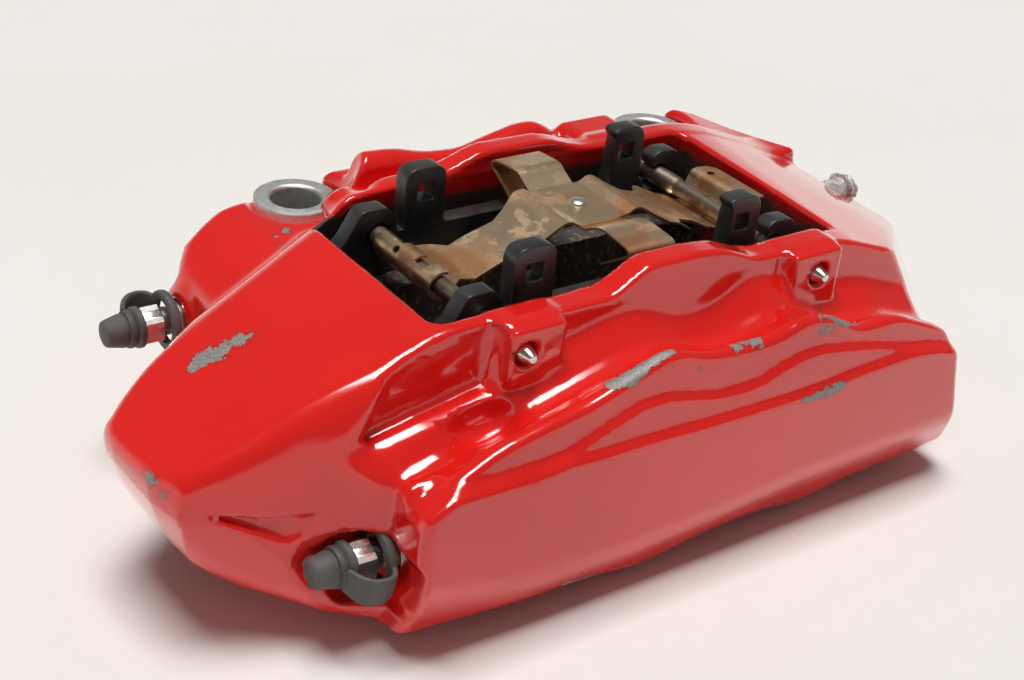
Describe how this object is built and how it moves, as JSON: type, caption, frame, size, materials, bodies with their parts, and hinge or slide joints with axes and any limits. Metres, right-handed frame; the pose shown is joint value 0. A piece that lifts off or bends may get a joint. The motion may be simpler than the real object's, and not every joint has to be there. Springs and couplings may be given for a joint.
{
  "type": "fixed disc brake caliper",
  "caption": "Fixed brake caliper in gloss red enamel, open-topped over the pads, with pistons, pads on pins, an anti-rattle spring, bleed screws with rubber caps and bolt-on ears.",
  "frame": {"origin": "midway between the two mounting bolts' axes, on the bosses' machined upper faces", "axes": "+X along the caliper from the bleed screws' end to the hose port's end, +Y towards the wheel carrier (inboard), +Z away from the disc's axis"},
  "size_m": [0.268, 0.138, 0.0878],
  "materials": {
    "caliper_paint": "gloss red enamel over cast aluminium, chipped to bare metal, with machined faces left bare",
    "piston_metal": "satin anodised",
    "seal_rubber": "matte moulded rubber",
    "pad_coating": "satin black powder coat",
    "friction_lining": "rough pressed friction material",
    "shim_steel": "dull coated steel",
    "pin_steel": "bare steel, stained by heat and dust",
    "spring_steel": "rolled spring steel, straw and brown heat stains",
    "zinc_steel": "pale zinc plate",
    "cap_rubber": "matte moulded rubber, dusty",
    "plug_foil": "pale translucent plastic, dented"
  },
  "bodies": {
    "caliper": {"caliper_body": "caliper_paint", "inner_seal_left": "seal_rubber", "inner_seal_right": "seal_rubber", "outer_seal_left": "seal_rubber", "outer_seal_right": "seal_rubber", "inner_boot_left": "seal_rubber", "inner_boot_right": "seal_rubber", "outer_boot_left": "seal_rubber", "outer_boot_right": "seal_rubber", "spring_long_leaf": "spring_steel", "spring_cross_leaf": "spring_steel", "spring_rivet": "zinc_steel"},
    "inner_pad": {"inner_pad_plate": "pad_coating", "inner_pad_lining": "friction_lining", "inner_pad_shim": "shim_steel"},
    "outer_pad": {"outer_pad_plate": "pad_coating", "outer_pad_lining": "friction_lining", "outer_pad_shim": "shim_steel"},
    "left_pin": {"pad_pin_left": "pin_steel", "pin_sleeve_left": "pin_steel"},
    "right_pin": {"pad_pin_right": "pin_steel", "pin_sleeve_right": "pin_steel"},
    "outer_bleeder": {"outer_bleed_screw": "zinc_steel"},
    "inner_bleeder": {"inner_bleed_screw": "zinc_steel"},
    "outer_dust_cap": {"outer_bleed_cap": "cap_rubber"},
    "inner_dust_cap": {"inner_bleed_cap": "cap_rubber"},
    "port_plug": {"hose_port_plug": "plug_foil"},
    "inner_piston_left": {"inner_piston_left": "piston_metal"},
    "inner_piston_right": {"inner_piston_right": "piston_metal"},
    "outer_piston_left": {"outer_piston_left": "piston_metal"},
    "outer_piston_right": {"outer_piston_right": "piston_metal"}
  },
  "joints": [
    {"name": "outer_pad_slide", "type": "slide", "parent": "caliper", "child": "outer_pad", "axis": [0, 1, 0], "range_m": [-0.003, 0.008]},
    {"name": "inner_pad_slide", "type": "slide", "parent": "caliper", "child": "inner_pad", "axis": [0, -1, 0], "range_m": [-0.003, 0.0025]},
    {"name": "outer_piston_left_slide", "type": "slide", "parent": "caliper", "child": "outer_piston_left", "axis": [0, 1, 0], "range_m": [-0.003, 0.008]},
    {"name": "outer_piston_right_slide", "type": "slide", "parent": "caliper", "child": "outer_piston_right", "axis": [0, 1, 0], "range_m": [-0.003, 0.008]},
    {"name": "inner_piston_left_slide", "type": "slide", "parent": "caliper", "child": "inner_piston_left", "axis": [0, -1, 0], "range_m": [-0.003, 0.0025]},
    {"name": "inner_piston_right_slide", "type": "slide", "parent": "caliper", "child": "inner_piston_right", "axis": [0, -1, 0], "range_m": [-0.003, 0.0025]},
    {"name": "left_pin_slide", "type": "slide", "parent": "caliper", "child": "left_pin", "axis": [0, 1, 0], "range_m": [0, 0.12]},
    {"name": "right_pin_slide", "type": "slide", "parent": "caliper", "child": "right_pin", "axis": [0, 1, 0], "range_m": [0, 0.12]},
    {"name": "outer_bleeder_turn", "type": "hinge", "parent": "caliper", "child": "outer_bleeder", "pos_m": [-0.0978, -0.1076, -0.041], "axis": [-1, 0, 0], "range_deg": [0, 180]},
    {"name": "outer_cap_pull", "type": "slide", "parent": "caliper", "child": "outer_dust_cap", "axis": [-1, 0, 0], "range_m": [0, 0.03]},
    {"name": "inner_bleeder_turn", "type": "hinge", "parent": "caliper", "child": "inner_bleeder", "pos_m": [-0.1058, -0.0076, -0.026], "axis": [-1, 0, 0], "range_deg": [0, 180]},
    {"name": "inner_cap_pull", "type": "slide", "parent": "caliper", "child": "inner_dust_cap", "axis": [-1, 0, 0], "range_m": [0, 0.03]},
    {"name": "plug_pull", "type": "slide", "parent": "caliper", "child": "port_plug", "axis": [1, 0, 0], "range_m": [0, 0.02]}
  ],
  "couplings": [
    {"joint": "outer_piston_left_slide", "follows": "outer_pad_slide", "ratio": 1},
    {"joint": "outer_piston_right_slide", "follows": "outer_pad_slide", "ratio": 1},
    {"joint": "inner_piston_left_slide", "follows": "inner_pad_slide", "ratio": 1},
    {"joint": "inner_piston_right_slide", "follows": "inner_pad_slide", "ratio": 1}
  ]
}
